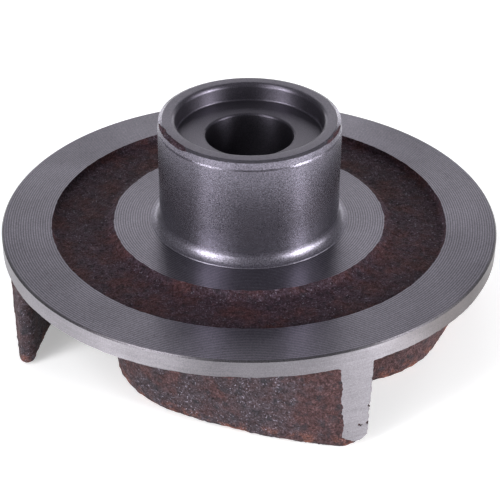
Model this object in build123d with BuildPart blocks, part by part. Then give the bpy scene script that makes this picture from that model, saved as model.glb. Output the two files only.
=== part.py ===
from build123d import *

import math
import os

# Cast iron impeller of a coolant pump: a turned disc with a seal hub on its dry side and
# four curved vanes on its wet side. The casting is one piece.
# Origin: on the shaft axis, in the plane of the vanes' free edges. +Z points to the hub's end face.

# ---- Turned sizes -------------------------------------------------------------------------
outer_diameter = 98.0        # disc and vane tips, turned together
rim_thickness = 3.5          # disc at its rim
rim_chamfer = 0.3            # broken edge around the disc's turned face
hub_diameter = 35.6          # hub where the shaft seal runs
hub_height = 22.1            # hub's end face above the disc's turned face
hub_root_radius = 1.6        # fillet where the hub meets the disc
hub_lip_height = 0.12        # the fillet ends on a lip this far above the disc's turned face
hub_lip_margin = 0.05        # flat left on the lip outside the fillet
lead_in_diameter = 35.2      # relieved band at the hub's end
lead_in_length = 1.8
hub_corner_width = 0.7       # broken corner of the hub's end, across the end face
hub_corner_height = 0.3      # and along the hub
bore_diameter = 17.0         # press fit on the pump shaft
bore_chamfer = 0.5
counterbore_diameter = 28.8  # seat in the hub's end
counterbore_depth = 3.7
counterbore_chamfer = 0.5    # broken mouth of the seat

# ---- Cast sizes ---------------------------------------------------------------------------
recess_outer_diameter = 78.3   # unmachined ring between the two turned faces
recess_inner_diameter = 53.8
recess_depth = 1.2
recess_outer_draft = 12.0      # degrees from the axis
recess_inner_draft = 50.0
recess_floor_bevel = 0.5       # where the ring's floor meets its walls
boss_diameter = 29.0           # boss around the bore on the wet side
boss_height = 8.0              # below the disc's underside
boss_draft = 5.0
boss_end_bevel = 1.2
turning_allowance = 1.7        # cast disc beyond the vanes' roots
mould_shift_x = 1.05           # the vane half of the mould sits this far off the turned axis
mould_shift_y = 0.4

# ---- Vanes --------------------------------------------------------------------------------
vane_count = 4
vane_height = 18.9           # free edge to the disc's underside
vane_thickness = 3.45        # at the free edge, before its corners are broken
vane_draft = 1.85            # degrees on each face
vane_tip_setback = 0.5       # centre of the round tip inside the turned radius
vane_tip_angle = 23.15       # place of the first tip, degrees from -Y towards +X
vane_exit_angle = 29.0       # between vane and circumference at the tip
outer_arc_radius = 89.2      # the vane's outer, flatter stretch
outer_arc_angle = 23.3
inner_arc_radius = 19.5      # the vane's inner, tighter stretch
inner_arc_angle = 96.0
vane_edge_bevel = 1.0        # broken corners of the free edge
vane_tip_rounding = 2.2      # outer corner of the tip at the free edge
vane_root_bevel = 0.5        # where the vanes meet the disc
eye_radius = 27.0            # the vanes' inner ends are swept back from this radius...
eye_end_radius = 19.0        # ...to this one
eye_depth = 10.0             # over this height

# ---- Derived ------------------------------------------------------------------------------
outer_radius = outer_diameter / 2
hub_radius = hub_diameter / 2
hub_lip_radius = hub_radius + hub_root_radius + hub_lip_margin
lead_in_radius = lead_in_diameter / 2
bore_radius = bore_diameter / 2
counterbore_radius = counterbore_diameter / 2
recess_outer_radius = recess_outer_diameter / 2
recess_inner_radius = recess_inner_diameter / 2
recess_outer_slope = recess_depth * math.tan(math.radians(recess_outer_draft))
recess_inner_slope = recess_depth * math.tan(math.radians(recess_inner_draft))
boss_radius = boss_diameter / 2
disc_underside = vane_height
disc_face = disc_underside + rim_thickness
hub_end = disc_face + hub_height
boss_end = disc_underside - boss_height
vane_tip_radius = outer_radius - vane_tip_setback
vane_reach = vane_tip_radius + vane_thickness / 2
vane_flare = vane_height * math.tan(math.radians(vane_draft)) + vane_root_bevel
cast_radius = vane_reach + vane_flare + mould_shift_x + mould_shift_y + turning_allowance
vane_plane = Plane(origin=(mould_shift_x, mould_shift_y, 0))
vane_section = Plane(origin=vane_plane.origin, x_dir=(1, 0, 0), z_dir=(0, -1, 0))
mould_axis = Axis(vane_plane.origin, vane_plane.z_dir)


def rings(radius, height):
    """Circular edges of the impeller at this radius and height."""
    circles = impeller.edges().filter_by(GeomType.CIRCLE)
    return circles.filter_by(
        lambda edge: abs(edge.radius - radius) < 0.01 and abs(edge.arc_center.Z - height) < 0.01
    )


# Plan of one vane: two tangent arcs from the tip to the inner end, thickened to both sides.
tip_angle = math.radians(vane_tip_angle)
tip_heading = math.radians(180 + vane_tip_angle - vane_exit_angle)
with BuildSketch(Plane.XY) as vane_plan:
    with BuildLine():
        outer_stretch = JernArc(
            start=(vane_tip_radius * math.sin(tip_angle), -vane_tip_radius * math.cos(tip_angle)),
            tangent=(math.cos(tip_heading), math.sin(tip_heading)),
            radius=outer_arc_radius,
            arc_size=-outer_arc_angle,
        )
        JernArc(
            start=outer_stretch @ 1,
            tangent=outer_stretch % 1,
            radius=inner_arc_radius,
            arc_size=-inner_arc_angle,
        )
        offset(amount=vane_thickness / 2, side=Side.BOTH)
    make_face()

with BuildPart() as impeller:
    # The four vanes, widening by their draft from the free edge into the disc.
    with BuildSketch(vane_plane):
        with PolarLocations(0, vane_count):
            add(vane_plan.sketch)
    extrude(amount=vane_height + rim_thickness / 2, taper=-vane_draft)
    chamfer(impeller.edges().group_by(Axis.Z)[0], length=vane_edge_bevel)

    # Their inner ends are swept back around the eye, and the tips' outer corners rounded.
    with BuildSketch(vane_section):
        with BuildLine():
            Polyline((0, 0), (eye_radius, 0), (eye_end_radius, eye_depth), (0, eye_depth), close=True)
        make_face()
        with BuildLine():
            Line((vane_reach - vane_tip_rounding, 0), (vane_reach, 0))
            Line((vane_reach, 0), (vane_reach, vane_tip_rounding))
            RadiusArc(
                (vane_reach, vane_tip_rounding),
                (vane_reach - vane_tip_rounding, 0),
                radius=vane_tip_rounding,
            )
        make_face()
    revolve(axis=mould_axis, mode=Mode.SUBTRACT)

    # Disc, as wide as its casting.
    with BuildSketch(Plane.XY.offset(disc_underside)):
        Circle(cast_radius)
    extrude(amount=rim_thickness)
    chamfer(impeller.edges(Select.NEW), length=vane_root_bevel)

    # Boss around the bore, cast with the vanes.
    with BuildSketch(vane_plane.offset(boss_end)):
        Circle(boss_radius)
    extrude(amount=boss_height, taper=-boss_draft)
    chamfer(rings(boss_radius, boss_end), length=boss_end_bevel)

    # Turning cut over the rim and the vane tips.
    with BuildSketch(Plane.XY):
        Circle(outer_radius)
    extrude(amount=disc_face, mode=Mode.INTERSECT)
    chamfer(rings(outer_radius, disc_face), length=rim_chamfer)

    # Unmachined ring in the turned face, with the draft of its mould.
    with BuildSketch(Plane.XZ) as recess_section:
        with BuildLine():
            Polyline(
                (recess_inner_radius, disc_face),
                (recess_outer_radius, disc_face),
                (recess_outer_radius - recess_outer_slope, disc_face - recess_depth),
                (recess_inner_radius + recess_inner_slope, disc_face - recess_depth),
                close=True,
            )
        make_face()
        chamfer(recess_section.vertices().group_by(Axis.Y)[0], length=recess_floor_bevel)
    revolve(axis=Axis.Z, mode=Mode.SUBTRACT)

    # Hub on its lip, with the relieved band at its end.
    with BuildSketch(Plane.XY.offset(disc_face)):
        Circle(hub_lip_radius)
    extrude(amount=hub_lip_height)
    with BuildSketch(Plane.XY.offset(disc_face)):
        Circle(hub_radius)
    extrude(amount=hub_height - lead_in_length)
    fillet(rings(hub_radius, disc_face + hub_lip_height), radius=hub_root_radius)
    with BuildSketch(Plane.XY.offset(hub_end - lead_in_length)):
        Circle(lead_in_radius)
    extrude(amount=lead_in_length)
    hub_end_face = impeller.faces().sort_by(Axis.Z)[-1]
    chamfer(hub_end_face.edges(), length=hub_corner_width, length2=hub_corner_height, reference=hub_end_face)

    # Shaft bore and the seat in the hub's end.
    with Locations(Plane.XY.offset(hub_end)):
        CounterBoreHole(
            radius=bore_radius,
            counter_bore_radius=counterbore_radius,
            counter_bore_depth=counterbore_depth,
        )
    chamfer(rings(counterbore_radius, hub_end), length=counterbore_chamfer)
    chamfer(rings(bore_radius, hub_end - counterbore_depth), length=bore_chamfer)
    chamfer(rings(bore_radius, boss_end), length=bore_chamfer)

impeller.part.label = "impeller"
os.makedirs("parts", exist_ok=True)
export_step(impeller.part, "parts/impeller.step")
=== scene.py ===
"""Cast iron pump impeller: a rough rusty casting, turned over its hub, disc face, rim and seat.

The visible skin is made as the real part is. A rough casting is built first, and then everything
outside the turned outline is cut away, so the border between rust and bright metal falls where the
casting's own unevenness puts it. Lengths are in millimetres until the meshes are made. Azimuths are
in degrees from the front towards the right.
"""

import math

import bmesh
import bpy
import numpy as np
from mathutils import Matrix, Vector, noise


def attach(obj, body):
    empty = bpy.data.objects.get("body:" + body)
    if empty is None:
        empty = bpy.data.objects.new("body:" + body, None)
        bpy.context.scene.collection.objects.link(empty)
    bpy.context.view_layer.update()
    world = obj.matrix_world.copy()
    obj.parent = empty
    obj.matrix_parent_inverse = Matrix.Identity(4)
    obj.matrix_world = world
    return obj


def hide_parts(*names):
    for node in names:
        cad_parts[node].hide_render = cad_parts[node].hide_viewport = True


MM = 0.001

# Turned sizes. All but the seat's softer mouth and the lip's margin are the part's.
OUTER = 49.0
RIM_BREAK = 0.3
FACE = 22.4
HUB = 17.8
HUB_ROOT = 1.6
LIP = 0.12
LIP_MARGIN = 0.03
LEAD_IN = 17.6
LEAD_IN_LENGTH = 1.8
HUB_END = 44.5
CORNER_WIDTH = 0.7
CORNER_HEIGHT = 0.3
SEAT = 14.4
SEAT_DEPTH = 3.7
SEAT_ROUND = 0.9
SEAT_ROOT = 0.35
BORE = 8.5
BORE_BREAK = 0.5

# Rows of points on the turned outline: how far past a cut edge or beside a round or step each lies,
# and how deep the outline goes.
OVERSHOOT = 0.1
BESIDE_SEAT_ROUND = 0.1
STEP_TOP = 0.1
STEP_FOOT = 0.2
BESIDE_STEP = 0.5
BESIDE_ROOT = 0.4
BELOW = -2.0
TURNED_AROUND = 360

# Cast sizes, with the allowance that is turned off.
UNDERSIDE = 18.9
ALLOWANCE = 0.9
CAST_RADIUS = 53.0
MOULD_SHIFT = (1.05, 0.4)
RECESS_OUTER = 39.15
RECESS_INNER = 26.9
RECESS_DEPTH = 1.2
RECESS_OUTER_DRAFT = 12.0
RECESS_INNER_DRAFT = 50.0
RECESS_ROUND = 0.5
BOSS = 14.5
BOSS_END = 10.9
BOSS_DRAFT = 5.0
BOSS_ROUND = 1.4
BOSS_ROOT = 1.5
CAST_HUB_ROUND = 2.0

# Where the cast hub's corner falls short of the turned one: middle and half width in degrees, depth.
SHORT_SIDES = ((-62.0, 28.0, 0.74), (68.0, 22.0, 0.66))
NEAR_CORNER = 3.0

# Rows of points on the cast outline: how far each lies beside the corner that it follows.
MIDDLE = 3.0
BOSS_FACE_START = 9.0
BOSS_SIDE_START = (0.2, 2.2)
BOSS_SIDE_END = 0.1
FLAT_START = 0.9
FLAT_END = 50.5
OUTER_LAND = 1.5
OUTER_FLARE = 0.05
RECESS_FLOOR_START = 0.9
RECESS_FLOOR_END = 0.5
INNER_LIFT = 0.12
INNER_SHOULDER = (0.525, 0.35)
INNER_LAND = 1.6
BELOW_HUB_ROUND = 2.0
CAST_AROUND = 450

# Vanes.
VANE_COUNT = 4
FRONT_VANE = 0
LEFT_VANE = 3
VANE_THICKNESS = 3.45
VANE_DRAFT = 1.85
TIP_RADIUS = 48.5
TIP_ANGLE = 23.15
EXIT_ANGLE = 29.0
OUTER_ARC = (89.2, 23.3)
INNER_ARC = (19.5, 96.0)
EDGE_ROUND = 1.65
ROOT_ROUND = 0.5
SUNK = 1.2
EYE = 27.0
EYE_END = 19.0
EYE_DEPTH = 10.0

# The tips' lower corners: their rounds, and how far back the front vane's tip is at each height.
TIP_ROUNDS = {1: 1.0, 2: 1.0, 3: 0.3}
FRONT_TIP_HEIGHTS = (0, 0.7, 1.44, 2.29, 3.8, 11)
FRONT_TIP_BACK = (4.8, 2.7, 1.1, -0.05, -0.3, 0)

# The front vane stands a little forward, and bulges on its outer side near the tip.
FRONT_SHIFT = (0, -0.1)
FRONT_SWELL_HEIGHTS = (1.7, 3.0, 4.8)
FRONT_SWELL = (0.12, 0.32, 0)
FRONT_SWELL_LENGTH = 9.0

# Where a tip is cast short of the rim: its radius there. The front vane's is short up to a height
# that falls from left to right, and comes back over the fade.
SHORT_RADIUS = 48.7
SHORT_CORNER_X = (17.0, 18.6, 20.3)
SHORT_CORNER_TOP = (3.05, 2.3, 1.5)
SHORT_CORNER_FADE = 0.15

# Points of a vane: along its path, where they crowd towards the tip, round each end, and upwards.
PATH_STEP = 0.55
ALONG = 98
TIP_CROWDING = 1.35
END_POINTS = 7
EDGE_ROWS = 9
LOW_ROWS = 12
LOW_HEIGHT = 4.0
HIGH_ROWS = 26
ROOT_ROWS = 5

# Uneven cast skin, as layers of fractal noise: size, height and seed, which a vane adds its index to.
BLANK_SKIN = ((5.0, 0.10, 1), (1.1, 0.10, 2))
VANE_SKIN = ((6.0, 0.10, 3), (1.2, 0.12, 9), (0.5, 0.10, 15))
NOISE_FALL = 0.8
NOISE_GAP = 2.1
NOISE_OCTAVES = 3
SEED_STEP = (17.3, 5.1, 9.7)

# Blowholes opened by the tool, then knocks: radius, azimuth, height and size.
PITS = (
    (49.05, 24.40, 5.05, 0.26),
    (49.05, 24.75, 4.75, 0.20),
    (49.05, 25.05, 4.95, 0.15),
    (49.0, 26.55, 8.9, 0.30),
    (49.0, 26.75, 8.2, 0.24),
    (49.0, 26.60, 7.0, 0.22),
    (49.0, 26.35, 5.0, 0.32),
    (49.05, 21.6, 4.1, 0.12),
    (49.0, 23.9, 22.45, 0.22),
    (44.8, -55.4, 22.45, 0.16),
    (44.9, -56.2, 22.47, 0.13),
    (49.05, -71.0, 22.3, 0.25),
    (49.05, -54.0, 22.35, 0.2),
    (49.0, 33.0, 22.4, 0.16),
    (49.0, 52.0, 22.42, 0.15),
)
PIT_SWELL = 0.5
PIT_NOISE = 3

# Angles in degrees from which an edge is sharp, and the distance in metres within which points merge.
CAST_CREASE = 75
TURNED_CREASE = 28
MERGE = 0.000002

# Finishes, in the order of the mesh's material slots.
SLOTS = (
    "cast_rust",
    "cast_recess",
    "turned_face",
    "turned_edge",
    "turned_rim",
    "turned_hub",
    "turned_seat",
)
RUST, RECESS, TURNED_FACE, TURNED_EDGE, TURNED_RIM, TURNED_HUB, TURNED_SEAT = range(len(SLOTS))


# ---- Mesh building ------------------------------------------------------------------------


def arc(r, z, radius, start, end, steps):
    """Points of an arc in the (radius, height) plane, angles in degrees."""
    angles = np.radians(np.linspace(start, end, steps + 1))
    return [(r + radius * math.cos(a), z + radius * math.sin(a)) for a in angles]


def spread(start, end, steps):
    """Points from start up to, but without, end."""
    return [
        (start[0] + (end[0] - start[0]) * k / steps, start[1] + (end[1] - start[1]) * k / steps)
        for k in range(steps)
    ]


def new_object(name, vertices, faces, slots):
    """Object from points in millimetres, with the shared list of materials."""
    mesh = bpy.data.meshes.new(name)
    mesh.from_pydata([tuple(v) for v in np.asarray(vertices, float) * MM], [], faces)
    for slot in SLOTS:
        mesh.materials.append(bpy.data.materials[slot])
    mesh.polygons.foreach_set("material_index", np.asarray(slots, np.int32))
    made = bpy.data.objects.new(name, mesh)
    bpy.context.scene.collection.objects.link(made)
    return made


def ring_faces(rows, around, close_rows):
    """Quads between neighbouring rings of points."""
    faces = []
    for row in range(rows if close_rows else rows - 1):
        this, other = row * around, (row + 1) % rows * around
        for k in range(around):
            after = (k + 1) % around
            faces.append((this + k, this + after, other + after, other + k))
    return faces


def lathe(name, profile, slots, around, closed, shape=None):
    """Solid of revolution. A closed profile makes a ring; an open one starts and ends on the axis.

    A point's slot is that of the faces from it to the next point, and the caps take the first.
    """
    angles = np.arange(around) * 2 * math.pi / around
    rings = profile if closed else profile[1:-1]
    points = []
    for r, z in rings:
        radii, heights = np.full(around, float(r)), np.full(around, float(z))
        if shape:
            radii, heights = shape(radii, heights, angles)
        points.append(np.stack([radii * np.sin(angles), -radii * np.cos(angles), heights], -1))
    vertices = np.concatenate(points)
    faces = ring_faces(len(rings), around, closed)
    face_slots = np.repeat(slots if closed else slots[1:-1], around)
    if not closed:
        low, high = len(vertices), len(vertices) + 1
        vertices = np.vstack([vertices, [(0, 0, profile[0][1]), (0, 0, profile[-1][1])]])
        last = (len(rings) - 1) * around
        for k in range(around):
            after = (k + 1) % around
            faces.append((low, after, k))
            faces.append((last + k, last + after, high))
        face_slots = np.concatenate([face_slots, np.full(2 * around, slots[0])])
    return new_object(name, vertices, faces, face_slots)


def outward(obj):
    """Turns the faces of a closed mesh outwards."""
    edit = bmesh.new()
    edit.from_mesh(obj.data)
    bmesh.ops.recalc_face_normals(edit, faces=edit.faces)
    edit.to_mesh(obj.data)
    edit.free()


def roughen(obj, layers, seed_shift=0):
    """Moves the points along their normals by layers of fractal noise, but never under the floor."""
    mesh = obj.data
    count = len(mesh.vertices)
    points, normals = np.zeros(count * 3), np.zeros(count * 3)
    mesh.vertices.foreach_get("co", points)
    mesh.vertices.foreach_get("normal", normals)
    points, normals = points.reshape(-1, 3) / MM, normals.reshape(-1, 3)
    lift = np.zeros(count)
    for size, height, seed in layers:
        offset = Vector([(seed + seed_shift) * step for step in SEED_STEP])
        places = [Vector(p) / size + offset for p in points]
        lift += height * np.array(
            [noise.fractal(place, NOISE_FALL, NOISE_GAP, NOISE_OCTAVES) for place in places]
        )
    points += normals * lift[:, None]
    points[:, 2] = np.maximum(points[:, 2], 0)
    mesh.vertices.foreach_set("co", (points * MM).ravel())
    mesh.update()


def boolean(target, other, operation):
    """Applies a boolean of two closed meshes to target and removes the other."""
    modifier = target.modifiers.new(operation, "BOOLEAN")
    modifier.operation = operation
    modifier.solver = "MANIFOLD"
    modifier.object = other
    graph = bpy.context.evaluated_depsgraph_get()
    made = bpy.data.meshes.new_from_object(target.evaluated_get(graph))
    target.modifiers.clear()
    target.data = made
    bpy.data.objects.remove(other)


# ---- The casting --------------------------------------------------------------------------


def hub_corner(radii, heights, angles):
    """The cast hub's corner, set back on two sides."""
    azimuth = np.degrees((angles + math.pi) % (2 * math.pi) - math.pi)
    short = np.zeros_like(azimuth)
    for middle, half, depth in SHORT_SIDES:
        short += depth * np.clip(1 - ((azimuth - middle) / half) ** 4, 0, 1)
    near = (np.abs(radii - HUB) < NEAR_CORNER) & (heights > HUB_END - NEAR_CORNER)
    amount = np.where(near, short, 0)
    return radii - amount, heights - amount


def lower_outline():
    """The cast underside: boss, its drafted side and root, and the flat of the disc."""
    side = BOSS + (UNDERSIDE - BOSS_END) * math.tan(math.radians(BOSS_DRAFT))
    side_out, side_up = BOSS_SIDE_START
    points = [(0, BOSS_END), (MIDDLE, BOSS_END)]
    points += spread((BOSS_FACE_START, BOSS_END), (BOSS - BOSS_ROUND, BOSS_END), steps=5)
    points += arc(BOSS - BOSS_ROUND, BOSS_END + BOSS_ROUND, BOSS_ROUND, -90, 0, steps=4)
    points += spread(
        (BOSS + side_out, BOSS_END + side_up), (side - BOSS_SIDE_END, UNDERSIDE - BOSS_ROOT), steps=6
    )
    points += arc(side + BOSS_ROOT, UNDERSIDE - BOSS_ROOT, BOSS_ROOT, 180, 90, steps=4)
    points += spread((side + BOSS_ROOT + FLAT_START, UNDERSIDE), (FLAT_END, UNDERSIDE), steps=25)
    return points + [(CAST_RADIUS, UNDERSIDE)]


def upper_outline():
    """The cast upper side with its allowance: outer land, recess, inner land and hub."""
    top = FACE + ALLOWANCE
    floor = FACE - RECESS_DEPTH
    outer_slope = math.tan(math.radians(RECESS_OUTER_DRAFT))
    outer_floor = RECESS_OUTER - RECESS_DEPTH * outer_slope
    inner_floor = RECESS_INNER + RECESS_DEPTH * math.tan(math.radians(RECESS_INNER_DRAFT))
    shoulder_in, shoulder_up = INNER_SHOULDER
    hub, hub_top = HUB + ALLOWANCE, HUB_END + ALLOWANCE
    points = [(CAST_RADIUS, top), (RECESS_OUTER + OUTER_LAND, top)]
    points += [(RECESS_OUTER + ALLOWANCE * outer_slope, top), (RECESS_OUTER, FACE)]
    points += [(outer_floor + OUTER_FLARE, floor + RECESS_ROUND)]
    points += arc(outer_floor - RECESS_ROUND, floor + RECESS_ROUND, RECESS_ROUND, 0, -90, steps=3)[1:]
    points += spread(
        (outer_floor - RECESS_FLOOR_START, floor), (inner_floor + RECESS_FLOOR_END, floor), steps=26
    )
    points += spread((inner_floor, floor + INNER_LIFT), (RECESS_INNER, FACE), steps=5)
    points += [(RECESS_INNER, FACE), (RECESS_INNER - shoulder_in, FACE + shoulder_up)]
    points += [(RECESS_INNER - INNER_LAND, top), (hub, top)]
    points += [(hub, hub_top - CAST_HUB_ROUND - BELOW_HUB_ROUND)]
    points += arc(hub - CAST_HUB_ROUND, hub_top - CAST_HUB_ROUND, CAST_HUB_ROUND, 0, 90, steps=8)
    return points + [(BORE, hub_top), (0, hub_top)]


def make_blank():
    """Disc, hub and boss as they leave the mould, with the allowance that will be turned off."""
    lower, upper = lower_outline(), upper_outline()
    slots = [RUST] * len(lower) + [RECESS] * len(upper)
    blank = lathe("blank", lower + upper, slots, CAST_AROUND, closed=False, shape=hub_corner)
    outward(blank)
    roughen(blank, BLANK_SKIN)
    return blank


def vane_path():
    """Centre line of a vane from its tip to its inner end, as points and headings."""
    tip = math.radians(TIP_ANGLE)
    point = np.array([TIP_RADIUS * math.sin(tip), -TIP_RADIUS * math.cos(tip)])
    heading = math.radians(180 + TIP_ANGLE - EXIT_ANGLE)
    points, headings = [], []
    for radius, turn in (OUTER_ARC, INNER_ARC):
        centre = point + radius * np.array([math.sin(heading), -math.cos(heading)])
        steps = max(2, int(radius * math.radians(turn) / PATH_STEP))
        for k in range(steps + 1):
            a = heading - math.radians(turn) * k / steps
            points.append(centre - radius * np.array([math.sin(a), -math.cos(a)]))
            headings.append(a)
        point, heading = points[-1], headings[-1]
    return np.array(points), np.array(headings)


def distances(points):
    """How far along the path each of its points is."""
    return np.concatenate([[0], np.cumsum(np.hypot(*np.diff(points, axis=0).T))])


def cut_path(points, headings, first, last):
    """The path between two distances along it, its points crowded towards the tip."""
    run = distances(points)
    at = first + (last - first) * np.linspace(0, 1, ALONG) ** TIP_CROWDING
    line = np.stack([np.interp(at, run, points[:, 0]), np.interp(at, run, points[:, 1])], -1)
    return line, np.interp(at, run, headings)


def vane_levels():
    """Heights of a vane's rings with the half thickness there."""
    half = VANE_THICKNESS / 2
    flare = math.tan(math.radians(VANE_DRAFT))
    root = UNDERSIDE - ROOT_ROUND
    levels = []
    for a in np.radians(np.linspace(0, 90, EDGE_ROWS)):
        levels.append((EDGE_ROUND * (1 - math.cos(a)), half - EDGE_ROUND * (1 - math.sin(a))))
    low = np.linspace(EDGE_ROUND, LOW_HEIGHT, LOW_ROWS)[1:]
    high = np.linspace(LOW_HEIGHT, root, HIGH_ROWS)[1:]
    for z in (*low, *high):
        levels.append((z, half + flare * z))
    for a in np.radians(np.linspace(0, 90, ROOT_ROWS)[1:]):
        out = ROOT_ROUND * (1 - math.cos(a))
        levels.append((root + ROOT_ROUND * math.sin(a), half + flare * root + out))
    levels.append((UNDERSIDE + SUNK, half + flare * root + ROOT_ROUND))
    return levels


def tip_reach(index, z):
    """How far back along the path the tip is at a height, for its rounded lower corner."""
    if index == FRONT_VANE:
        return np.interp(z, FRONT_TIP_HEIGHTS, FRONT_TIP_BACK)
    rounding = TIP_ROUNDS[index]
    return rounding * (1 - math.sqrt(1 - (1 - min(1, z / rounding)) ** 2))


def inner_reach(points, z, half):
    """How far along the path the vane goes at a height, its inner end swept back for the eye."""
    run, radii = distances(points), np.hypot(*points.T)
    eye = EYE - (EYE - EYE_END) * min(1, z / EYE_DEPTH)
    inside = np.nonzero(radii < eye + half)[0]
    return run[inside[0]] if len(inside) and eye > radii[-1] - half else run[-1]


def round_end(centre, heading, half, start, end):
    """Points of a half circle between the two sides of a slot outline."""
    turns = [heading + math.radians(a) for a in np.linspace(start, end, END_POINTS + 2)[1:-1]]
    return [centre + half * np.array([math.cos(turn), math.sin(turn)]) for turn in turns]


def slot_outline(index, line, heading, z, half):
    """A vane's outline at a height: outer side, round inner end, inner side back and round tip."""
    left = np.stack([-np.sin(heading), np.cos(heading)], -1)
    outer = np.full(ALONG, half)
    if index == FRONT_VANE:
        swell = np.interp(z, FRONT_SWELL_HEIGHTS, FRONT_SWELL)
        from_tip = np.hypot(*(line - line[0]).T)
        outer += swell * np.clip(1 - from_tip / FRONT_SWELL_LENGTH, 0, 1)
    outline = list(line + outer[:, None] * left)
    outline += round_end(line[-1], heading[-1], half, 90, -90)
    outline += list((line - half * left)[::-1])
    outline += round_end(line[0], heading[0], half, -90, -270)
    return np.array(outline)


def within(points, radius, share):
    """Points beyond a radius brought back to it, wholly or by a share."""
    limit = np.minimum(1, radius / np.hypot(*points.T))
    return points * (1 - share * (1 - limit))[:, None]


def in_mould(index, outline, z):
    """A vane's outline turned to its place, with the mould's shift and the tips cast short."""
    turn = index * 2 * math.pi / VANE_COUNT
    rotate = np.array([[math.cos(turn), -math.sin(turn)], [math.sin(turn), math.cos(turn)]])
    placed = outline @ rotate.T + MOULD_SHIFT
    if index == FRONT_VANE:
        placed = placed + FRONT_SHIFT
        top = np.interp(placed[:, 0], SHORT_CORNER_X, SHORT_CORNER_TOP)
        placed = within(placed, SHORT_RADIUS, np.clip((top - z) / SHORT_CORNER_FADE, 0, 1))
    if index == LEFT_VANE:
        placed = within(placed, SHORT_RADIUS, 1)
    return placed


def slot_cap(base, around, flip):
    """Faces across a slot outline, from one long side to the other."""
    middle = ALONG + END_POINTS // 2
    far = base + 2 * ALONG + END_POINTS
    pairs = [(base + k, far - 1 - k) for k in range(middle)]
    faces = [(a, b, d, c) for (a, c), (b, d) in zip(pairs, pairs[1:])]
    start, end = pairs[-1]
    faces.append((start, base + middle, end))
    start, end = pairs[0]
    for k in range(END_POINTS // 2):
        faces.append((start, end, far + k, base + around - 1 - k))
        start, end = base + around - 1 - k, far + k
    faces.append((start, end, far + END_POINTS // 2))
    return [tuple(reversed(face)) for face in faces] if flip else faces


def make_vane(index, points, headings):
    """One vane as a stack of slot outlines, rough all over."""
    rings = []
    for z, half in vane_levels():
        line, heading = cut_path(points, headings, tip_reach(index, z), inner_reach(points, z, half))
        placed = in_mould(index, slot_outline(index, line, heading, z, half), z)
        rings.append(np.column_stack([placed, np.full(len(placed), z)]))
    around = len(rings[0])
    faces = ring_faces(len(rings), around, close_rows=False)
    faces += slot_cap(0, around, flip=False)
    faces += slot_cap((len(rings) - 1) * around, around, flip=True)
    vane = new_object(f"vane_{index}", np.vstack(rings), faces, [RUST] * len(faces))
    outward(vane)
    roughen(vane, VANE_SKIN, index)
    return vane


def make_turned():
    """Everything inside the turned outline, as a ring around the bore."""
    break_foot = BORE + BORE_BREAK + OVERSHOOT
    seat_floor = HUB_END - SEAT_DEPTH
    step = HUB_END - LEAD_IN_LENGTH
    root = FACE + LIP + HUB_ROOT
    lip = HUB + HUB_ROOT + LIP_MARGIN
    seat = [(break_foot, BELOW), (break_foot, BOSS_END - OVERSHOOT), (BORE, BOSS_END + BORE_BREAK)]
    seat += arc(BORE + BORE_BREAK, seat_floor - BORE_BREAK, BORE_BREAK, 180, 90, steps=5)
    seat += arc(SEAT - SEAT_ROOT, seat_floor + SEAT_ROOT, SEAT_ROOT, -90, 0, steps=4)
    seat += [(SEAT, HUB_END - SEAT_ROUND - BESIDE_SEAT_ROUND)]
    seat += arc(SEAT + SEAT_ROUND, HUB_END - SEAT_ROUND, SEAT_ROUND, 180, 90, steps=8)
    hub = [(LEAD_IN - CORNER_WIDTH, HUB_END), (LEAD_IN, HUB_END - CORNER_HEIGHT)]
    hub += [(LEAD_IN, step + STEP_TOP), (HUB, step - STEP_FOOT), (HUB, step - BESIDE_STEP)]
    hub += [(HUB, root + BESIDE_ROOT)]
    hub += arc(HUB + HUB_ROOT, root, HUB_ROOT, 180, 270, steps=8)
    hub += [(lip, FACE + LIP)]
    stretches = (
        (seat, TURNED_SEAT),
        (hub, TURNED_HUB),
        ([(lip + LIP, FACE)], TURNED_FACE),
        ([(OUTER - RIM_BREAK, FACE)], TURNED_EDGE),
        ([(OUTER, FACE - RIM_BREAK)], TURNED_RIM),
        ([(OUTER, BELOW)], RUST),
    )
    profile = [point for points, _ in stretches for point in points]
    slots = [slot for points, slot in stretches for _ in points]
    inside = lathe("turned", profile, slots, TURNED_AROUND, closed=True)
    outward(inside)
    return inside


def make_pits():
    """Blowholes opened by the tool and small knocks, as rough balls to be taken out."""
    edit = bmesh.new()
    for radius, azimuth, z, size in PITS:
        a = math.radians(azimuth)
        centre = Vector((radius * math.sin(a), -radius * math.cos(a), z))
        ball = bmesh.ops.create_icosphere(edit, subdivisions=2, radius=size)
        for vertex in ball["verts"]:
            swell = 1 + PIT_SWELL * noise.noise((vertex.co + centre) * PIT_NOISE / size**0.5)
            vertex.co = centre + vertex.co * swell
    vertices = [tuple(v.co) for v in edit.verts]
    faces = [[v.index for v in face.verts] for face in edit.faces]
    edit.free()
    return new_object("pits", vertices, faces, [RUST] * len(faces))


def crease(obj):
    """Smooth faces, with sharp edges where surfaces or finishes meet."""
    mesh = obj.data
    edit = bmesh.new()
    edit.from_mesh(mesh)
    bmesh.ops.remove_doubles(edit, verts=edit.verts, dist=MERGE)
    for face in edit.faces:
        face.smooth = True
    for edge in edit.edges:
        if len(edge.link_faces) != 2:
            continue
        one, other = (face.material_index for face in edge.link_faces)
        limit = math.radians(CAST_CREASE if one in (RUST, RECESS) else TURNED_CREASE)
        edge.smooth = one == other and edge.calc_face_angle(0) < limit
    edit.to_mesh(mesh)
    edit.free()


def make_impeller():
    """The casting cut back to its turned outline, as one piece."""
    body = make_blank()
    points, headings = vane_path()
    for index in range(VANE_COUNT):
        boolean(body, make_vane(index, points, headings), "UNION")
    boolean(body, make_turned(), "INTERSECT")
    boolean(body, make_pits(), "DIFFERENCE")
    crease(body)
    body.name = "impeller_skin"
    return body


# ---- Materials ----------------------------------------------------------------------------

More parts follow.
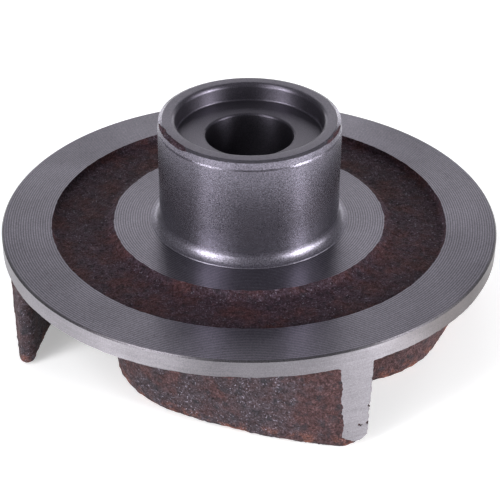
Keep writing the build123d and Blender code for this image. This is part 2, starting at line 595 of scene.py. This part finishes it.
# Spans in millimetres over which tones change: upwards, from left to right, from the middle to the
# right, and above the free edges of the vanes.
HEIGHTS = (0.0, 50.0)
WIDTHS = (-50.0, 50.0)
RIGHT_HALF = (0.0, 50.0)
FREE_EDGE = (0.0, 10.0)

FRESH_RUST = (0.165, 0.055, 0.036)
BLACK_SCALE = (0.011, 0.012, 0.016)
PALE_SPECK = (0.30, 0.27, 0.34)

# Tones of the rim from its left end to its right. The lighter and darker stretches are painted highlights
# and painted shade, and the brown at the right end is a real stain.
RIM_SHEEN_AND_STAIN = ((-36, 1.25), (-22, 0.95), (-5, 0.82), (16, 1.15), (22, 1.1), (36, (0.56, 0.53, 0.49)))

# Tones by height of the hub's lead-in and of the seat's mouth, and how much rougher the hub's root is. The
# lead-in band is painted lighter as a painted highlight and its top corner darker as painted shade, and the
# top of the seat's mouth is painted lighter as a painted highlight.
HUB_BAND_SHEEN_AND_SHADE = ((HUB_END - 2.0, 1.0), (HUB_END - 1.7, 1.2), (HUB_END - 0.4, 1.2), (HUB_END - 0.25, 0.85))
# Painted highlight: the top of the seat's mouth is lighter.
SEAT_MOUTH_SHEEN = ((HUB_END - 0.3, 1.0), (HUB_END - 0.05, 1.18))
DULL_ROOT = ((FACE + 1.5, 0.15), (FACE + 2.6, 0.0))

# The radius in millimetres at which streaks round the axis have the length that they are given, how
# far the tool marks wander, and the depth in millimetres of the grain.
STREAK_RADIUS = 30
MARK_WANDER = 1.2
GRAIN_DEPTH = 0.03


class Nodes:
    """A material's node tree, built by short calls."""

    def __init__(self, name):
        self.material = bpy.data.materials.new(name)
        self.material.use_nodes = True
        self.tree = self.material.node_tree
        self.shader = self.tree.nodes["Principled BSDF"]

    def set(self, **values):
        """Constants on the shader's own sockets, with _ for each space in a name."""
        for key, value in values.items():
            self.shader.inputs[key.replace("_", " ")].default_value = value

    def link(self, value, key):
        self.tree.links.new(value, self.shader.inputs[key])

    def add(self, kind, inputs=None, **properties):
        """A new node. An input is a number, a colour, or another node's socket."""
        node = self.tree.nodes.new(kind)
        for key, value in properties.items():
            setattr(node, key, value)
        for key, value in (inputs or {}).items():
            if isinstance(value, bpy.types.NodeSocket):
                self.tree.links.new(value, node.inputs[key])
            else:
                node.inputs[key].default_value = value
        return node

    def math(self, operation, a, b=0.0, c=0.0):
        return self.add("ShaderNodeMath", {0: a, 1: b, 2: c}, operation=operation).outputs[0]

    def vector(self, operation, inputs):
        return self.add("ShaderNodeVectorMath", inputs, operation=operation).outputs["Vector"]

    def millimetres(self):
        """The place on the object, in millimetres."""
        place = self.add("ShaderNodeTexCoord").outputs["Object"]
        return self.vector("SCALE", {0: place, "Scale": 1 / MM})

    def shift(self, place, distance):
        """The place moved, so that noise there has nothing to do with the noise here."""
        return self.vector("ADD", {0: place, 1: (distance,) * 3})

    def axis(self, place, letter):
        return self.add("ShaderNodeSeparateXYZ", {0: place}).outputs[letter]

    def radius(self, place):
        """Distance from the shaft axis."""
        x, y = self.axis(place, "X"), self.axis(place, "Y")
        return self.math("SQRT", self.math("ADD", self.math("MULTIPLY", x, x), self.math("MULTIPLY", y, y)))

    def noise(self, place, size, detail=3.0, roughness=0.55):
        inputs = {"Vector": place, "Scale": 1 / size, "Detail": detail, "Roughness": roughness}
        return self.add("ShaderNodeTexNoise", inputs).outputs["Fac"]

    def streaks(self, place, across, length, width):
        """Noise drawn out round the axis: length that way, and width in the direction of across."""
        flat = {0: self.axis(place, "X"), 1: self.axis(place, "Y")}
        flat = self.add("ShaderNodeCombineXYZ", flat).outputs[0]
        ring = self.vector("NORMALIZE", {0: flat})
        ring = self.vector("SCALE", {0: ring, "Scale": STREAK_RADIUS / length})
        step = self.add("ShaderNodeCombineXYZ", {2: self.math("DIVIDE", across, width)}).outputs[0]
        return self.noise(self.vector("ADD", {0: ring, 1: step}), size=1.0, detail=3.0, roughness=0.6)

    def grooves(self, value, pitch, wander):
        """Tool marks: a wave every pitch millimetres, made uneven by wander."""
        turns = self.math("MULTIPLY", value, 2 * math.pi / pitch)
        wave = self.math("SINE", self.math("ADD", turns, wander))
        return self.math("MULTIPLY_ADD", wave, 0.5, 0.5)

    def ramp(self, value, stops):
        """Colour ramp through stops of position and tone, a grey or a colour."""
        node = self.add("ShaderNodeValToRGB", {"Fac": value})
        elements = node.color_ramp.elements
        while len(elements) < len(stops):
            elements.new(0.5)
        for element, (position, tone) in zip(elements, stops):
            element.position = position
            element.color = (*tone, 1) if isinstance(tone, tuple) else (tone, tone, tone, 1)
        return node.outputs["Color"]

    def ramp_over(self, value, span, stops):
        """Colour ramp whose stops are places in millimetres within a span."""
        start, length = span[0], span[1] - span[0]
        share = self.math("MULTIPLY_ADD", value, 1 / length, -start / length)
        return self.ramp(share, [((place - start) / length, tone) for place, tone in stops])

    def mix(self, factor, a, b, blend="MIX"):
        node = self.add("ShaderNodeMix", data_type="RGBA", blend_type=blend)
        sockets = {"Factor_Float": factor, "A_Color": a, "B_Color": b}
        for socket in node.inputs:
            if socket.identifier in sockets:
                value = sockets[socket.identifier]
                if isinstance(value, bpy.types.NodeSocket):
                    self.tree.links.new(value, socket)
                else:
                    socket.default_value = (*value, 1) if isinstance(value, tuple) else value
        return next(o for o in node.outputs if o.identifier == "Result_Color")

    def multiply(self, colour, tone):
        return self.mix(1.0, colour, tone, "MULTIPLY")

    def vary(self, tone, value, amount, low=0.3, high=0.7):
        """The tone made darker to lighter by an amount, as value goes from low to high."""
        return self.multiply(tone, self.ramp(value, [(low, 1 - amount), (high, 1 + amount)]))

    def bump(self, height, depth, normal=None):
        """A normal from a height of 0 to 1, which stands for depth millimetres."""
        inputs = {"Height": height, "Strength": 1.0, "Distance": depth * MM}
        if normal is not None:
            inputs["Normal"] = normal
        return self.add("ShaderNodeBump", inputs).outputs["Normal"]


def cast_skin(name, violet, red, black, orange, shine, lean):
    """As-cast skin: violet brown oxide, redder in patches, with pits, pale specks and fresh rust.

    black and orange say how strongly the black scale and the fresh rust show, shine is for the specks
    and the gloss, and lean says how much redder the right side is.
    """
    n = Nodes(name)
    place = n.millimetres()
    patches = n.noise(place, size=5.0, detail=3.0, roughness=0.6)
    blotches = n.noise(n.shift(place, 40), size=1.7, detail=4.0, roughness=0.65)
    mottle = n.noise(place, size=0.9, detail=4.0, roughness=0.7)
    grain = n.noise(place, size=0.36, detail=3.0, roughness=0.7)
    redder = n.math("ADD", patches, n.ramp_over(n.axis(place, "X"), RIGHT_HALF, [(5.0, 0.0), (13.0, lean)]))
    colour = n.mix(n.ramp(redder, [(0.45, 0.0), (0.62, 1.0)]), violet, red)
    colour = n.multiply(colour, n.ramp(mottle, [(0.30, 0.36), (0.52, 1.0), (0.72, (1.5, 1.8, 1.85))]))
    fresh = n.ramp(n.noise(n.shift(place, 90), size=2.6), [(0.46, 0.0), (0.60, orange)])
    near_edge = n.ramp_over(n.axis(place, "Z"), FREE_EDGE, [(0.6, 1.0), (3.2, 0.0)])
    near_edge = n.math("MULTIPLY_ADD", near_edge, 0.94, 0.06)
    colour = n.mix(n.math("MULTIPLY", fresh, near_edge), colour, FRESH_RUST)
    colour = n.multiply(colour, n.ramp(grain, [(0.32, 0.30), (0.5, 1.0), (0.68, (1.9, 2.4, 2.5))]))
    colour = n.mix(n.ramp(blotches, [(0.52, 0.0), (0.64, black)]), colour, BLACK_SCALE)
    specks = n.noise(n.shift(place, 15), size=0.42, detail=2.0, roughness=0.6)
    specks = n.ramp(specks, [(0.62, 0.0), (0.70, 1.0)])
    specks = n.math("MULTIPLY", specks, n.ramp(redder, [(0.40, shine * 4), (0.60, 0.08)]))
    n.link(n.mix(specks, colour, PALE_SPECK), "Base Color")
    n.link(n.ramp(mottle, [(0.3, 0.8), (0.8, 0.55)]), "Roughness")
    coarse = n.bump(mottle, depth=0.35)
    n.link(n.bump(grain, depth=0.20, normal=coarse), "Normal")
    n.set(Metallic=0.0, Specular_IOR_Level=shine)


def turned_iron(
    name, colour, roughness, pitch, depth, marked, grained, streaked, upwards=None, sideways=None, dull=None
):
    """Turned iron with tool marks round the axis, a little uneven in tone.

    pitch and depth are those of the marks in millimetres. marked, grained and streaked say how much
    the marks, the grain and the streaks change the tone. upwards and sideways are tones by height and
    from left to right, which paint highlights and shade (and on the rim a real brown stain), and dull adds
    to the roughness by height.
    """
    n = Nodes(name)
    place = n.millimetres()
    height = n.axis(place, "Z")
    across = n.math("SUBTRACT", n.radius(place), height)
    wander = n.math("MULTIPLY", n.noise(place, size=14.0, detail=2.0), MARK_WANDER)
    marks = n.grooves(across, pitch, wander)
    streaks = n.streaks(place, across, length=5.0, width=0.17)
    grain = n.noise(place, size=0.24, detail=2.0, roughness=0.6)
    tone = n.multiply(colour, n.ramp(n.noise(place, size=13.0), [(0.3, 0.86), (0.7, 1.12)]))
    tone = n.vary(tone, streaks, streaked)
    tone = n.vary(tone, grain, grained)
    tone = n.vary(tone, marks, marked, low=0.0, high=1.0)
    if upwards:
        tone = n.multiply(tone, n.ramp_over(height, HEIGHTS, upwards))
    if sideways:
        tone = n.multiply(tone, n.ramp_over(n.axis(place, "X"), WIDTHS, sideways))
    n.link(tone, "Base Color")
    uneven = n.ramp(streaks, [(0.25, roughness - 0.6 * streaked), (0.75, roughness + 0.8 * streaked)])
    if dull:
        uneven = n.math("ADD", uneven, n.ramp_over(height, HEIGHTS, dull))
    n.link(uneven, "Roughness")
    skin = n.bump(grain, depth=GRAIN_DEPTH * grained)
    n.link(n.bump(marks, depth=depth, normal=skin), "Normal")
    n.link(n.add("ShaderNodeTangent", direction_type="RADIAL", axis="Z").outputs["Tangent"], "Tangent")
    n.set(Metallic=0.9, Anisotropic=0.7, Anisotropic_Rotation=0.25)


def make_materials():
    """The finishes of SLOTS."""
    cast_skin(
        "cast_rust", violet=(0.037, 0.024, 0.029), red=(0.045, 0.0195, 0.0210),
        black=0.65, orange=0.85, shine=0.20, lean=0.20,
    )
    cast_skin(
        "cast_recess", violet=(0.031, 0.0165, 0.0230), red=(0.042, 0.0165, 0.0185),
        black=0.45, orange=0.2, shine=0.10, lean=0.0,
    )
    turned_iron(
        "turned_face", (0.124, 0.115, 0.141), roughness=0.31, pitch=0.48, depth=0.006,
        marked=0.38, grained=0.30, streaked=0.08,
    )
    turned_iron(
        "turned_edge", (0.118, 0.110, 0.124), roughness=0.30, pitch=0.48, depth=0.001,
        marked=0.05, grained=0.40, streaked=0.10,
    )
    # The rim's tones from left to right paint its highlights and shade, with a real brown stain at the
    # right end.
    turned_iron(
        "turned_rim", (0.210, 0.199, 0.218), roughness=0.39, pitch=0.30, depth=0.003,
        marked=0.05, grained=0.18, streaked=0.12, sideways=RIM_SHEEN_AND_STAIN,
    )
    # Its tones by height paint a highlight on the lead-in band and shade on the hub's top corner.
    turned_iron(
        "turned_hub", (0.172, 0.161, 0.198), roughness=0.235, pitch=0.20, depth=0.001,
        marked=0.04, grained=0.62, streaked=0.03, upwards=HUB_BAND_SHEEN_AND_SHADE, dull=DULL_ROOT,
    )
    # Its tones by height paint a highlight on the seat's mouth.
    turned_iron(
        "turned_seat", (0.080, 0.073, 0.093), roughness=0.38, pitch=0.30, depth=0.001,
        marked=0.04, grained=0.30, streaked=0.05, upwards=SEAT_MOUTH_SHEEN,
    )


# ---- Studio -------------------------------------------------------------------------------

# Camera: sensor and lens in millimetres, its place and clipping in metres, and its turns in degrees.
SENSOR_WIDTH = 36.0
LENS = 117.276
CAMERA_PLACE = (0.0, -0.277977, 0.191116)
CAMERA_TURN = (57.53317, -0.26676, 0.12885)
CLIP_START = 0.01
CLIP_END = 20.0

# Floor, in metres. Its glow rises between the two distances of FLOOR_FADE from the part's axis.
FLOOR_HALF = 6.0
FLOOR_LEVEL = -0.0001
FLOOR_COLOUR = (0.86, 0.86, 0.87)
FLOOR_GLOW = 0.38
FAR_FLOOR_GLOW = 0.80
FLOOR_FADE = (0.5, 0.9)

ROOM_COLOUR = (0.97, 0.98, 1.0)
ROOM_LIGHT = 0.25

# Softboxes: azimuth, elevation and power in watts. Their size, distance and aim are in metres.
LAMPS = {
    "right_front": (50, 6, 2.4),
    "right_side": (65, 6, 8.9),
    "right_middle": (65, 20, 2.6),
    "right_back": (86, 6, 2.5),
    "left_front": (-32, 6, 3.4),
    "left_side": (-50, 6, 7.4),
    "left_middle": (-55, 20, 2.0),
    "left_high": (-50, 50, 2.2),
    "back_left": (-155, 12, 0.8),
    "back_right": (155, 12, 0.8),
    "back_low": (180, 12, 0.5),
    "back_high": (180, 34, 0.5),
}
LAMP_SIZE = 0.34
LAMP_DISTANCE = 0.9
LAMP_AIM = (0, 0, 0.03)


def make_camera():
    """The camera at the photograph's viewing angle."""
    data = bpy.data.cameras.new("camera")
    data.sensor_width = SENSOR_WIDTH
    data.lens = LENS
    data.clip_start = CLIP_START
    data.clip_end = CLIP_END
    camera = bpy.data.objects.new("camera", data)
    camera.location = CAMERA_PLACE
    camera.rotation_euler = [math.radians(a) for a in CAMERA_TURN]
    bpy.context.scene.collection.objects.link(camera)
    bpy.context.scene.camera = camera


def floor_white():
    """White that glows for the camera, in gloss and through glass alone, and lights nothing."""
    n = Nodes("floor_white")
    n.set(Base_Color=(*FLOOR_COLOUR, 1), Roughness=0.9, Emission_Color=(1, 1, 1, 1))
    path = n.add("ShaderNodeLightPath").outputs
    seen = path["Is Camera Ray"]
    for ray in ("Is Glossy Ray", "Is Transmission Ray"):
        seen = n.math("MAXIMUM", seen, path[ray])
    place = n.add("ShaderNodeTexCoord").outputs["Object"]
    distance = n.add("ShaderNodeVectorMath", {0: place}, operation="LENGTH").outputs["Value"]
    fade = {"Value": distance, "From Min": FLOOR_FADE[0], "From Max": FLOOR_FADE[1]}
    fade |= {"To Min": FLOOR_GLOW, "To Max": FAR_FLOOR_GLOW}
    glow = n.add("ShaderNodeMapRange", fade).outputs["Result"]
    n.link(n.math("MULTIPLY", seen, glow), "Emission Strength")
    return n.material


def make_floor():
    """A pale floor that fills the view and takes the part's shadow."""
    mesh = bpy.data.meshes.new("floor")
    signs = ((-1, -1), (1, -1), (1, 1), (-1, 1))
    corners = [(x * FLOOR_HALF, y * FLOOR_HALF, FLOOR_LEVEL) for x, y in signs]
    mesh.from_pydata(corners, [], [(0, 1, 2, 3)])
    mesh.materials.append(floor_white())
    floor = bpy.data.objects.new("floor", mesh)
    bpy.context.scene.collection.objects.link(floor)


def make_world():
    """Plain light from all round."""
    world = bpy.data.worlds.new("studio")
    world.use_nodes = True
    background = world.node_tree.nodes["Background"]
    background.inputs["Color"].default_value = (*ROOM_COLOUR, 1)
    background.inputs["Strength"].default_value = ROOM_LIGHT
    bpy.context.scene.world = world


def make_lamp(name, azimuth, elevation, power):
    """A round softbox aimed at the part."""
    data = bpy.data.lights.new(name, "AREA")
    data.shape = "DISK"
    data.size = LAMP_SIZE
    data.energy = power
    turn, rise = math.radians(azimuth), math.radians(elevation)
    away = Vector((math.sin(turn) * math.cos(rise), -math.cos(turn) * math.cos(rise), math.sin(rise)))
    lamp = bpy.data.objects.new(name, data)
    lamp.location = Vector(LAMP_AIM) + away * LAMP_DISTANCE
    lamp.rotation_euler = (-away).to_track_quat("-Z", "Y").to_euler()
    bpy.context.scene.collection.objects.link(lamp)


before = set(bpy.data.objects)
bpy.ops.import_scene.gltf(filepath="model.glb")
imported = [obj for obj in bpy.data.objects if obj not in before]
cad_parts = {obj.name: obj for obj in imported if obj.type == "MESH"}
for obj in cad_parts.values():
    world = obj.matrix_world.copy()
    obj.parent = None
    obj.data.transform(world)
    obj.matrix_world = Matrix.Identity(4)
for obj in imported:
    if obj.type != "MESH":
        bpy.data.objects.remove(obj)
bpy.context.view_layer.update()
make_materials()
impeller = make_impeller()
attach(impeller, "root")
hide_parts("impeller")
make_camera()
make_floor()
make_world()
for name, (azimuth, elevation, power) in LAMPS.items():
    make_lamp(name, azimuth, elevation, power)
bpy.context.scene.view_settings.view_transform = "Standard"
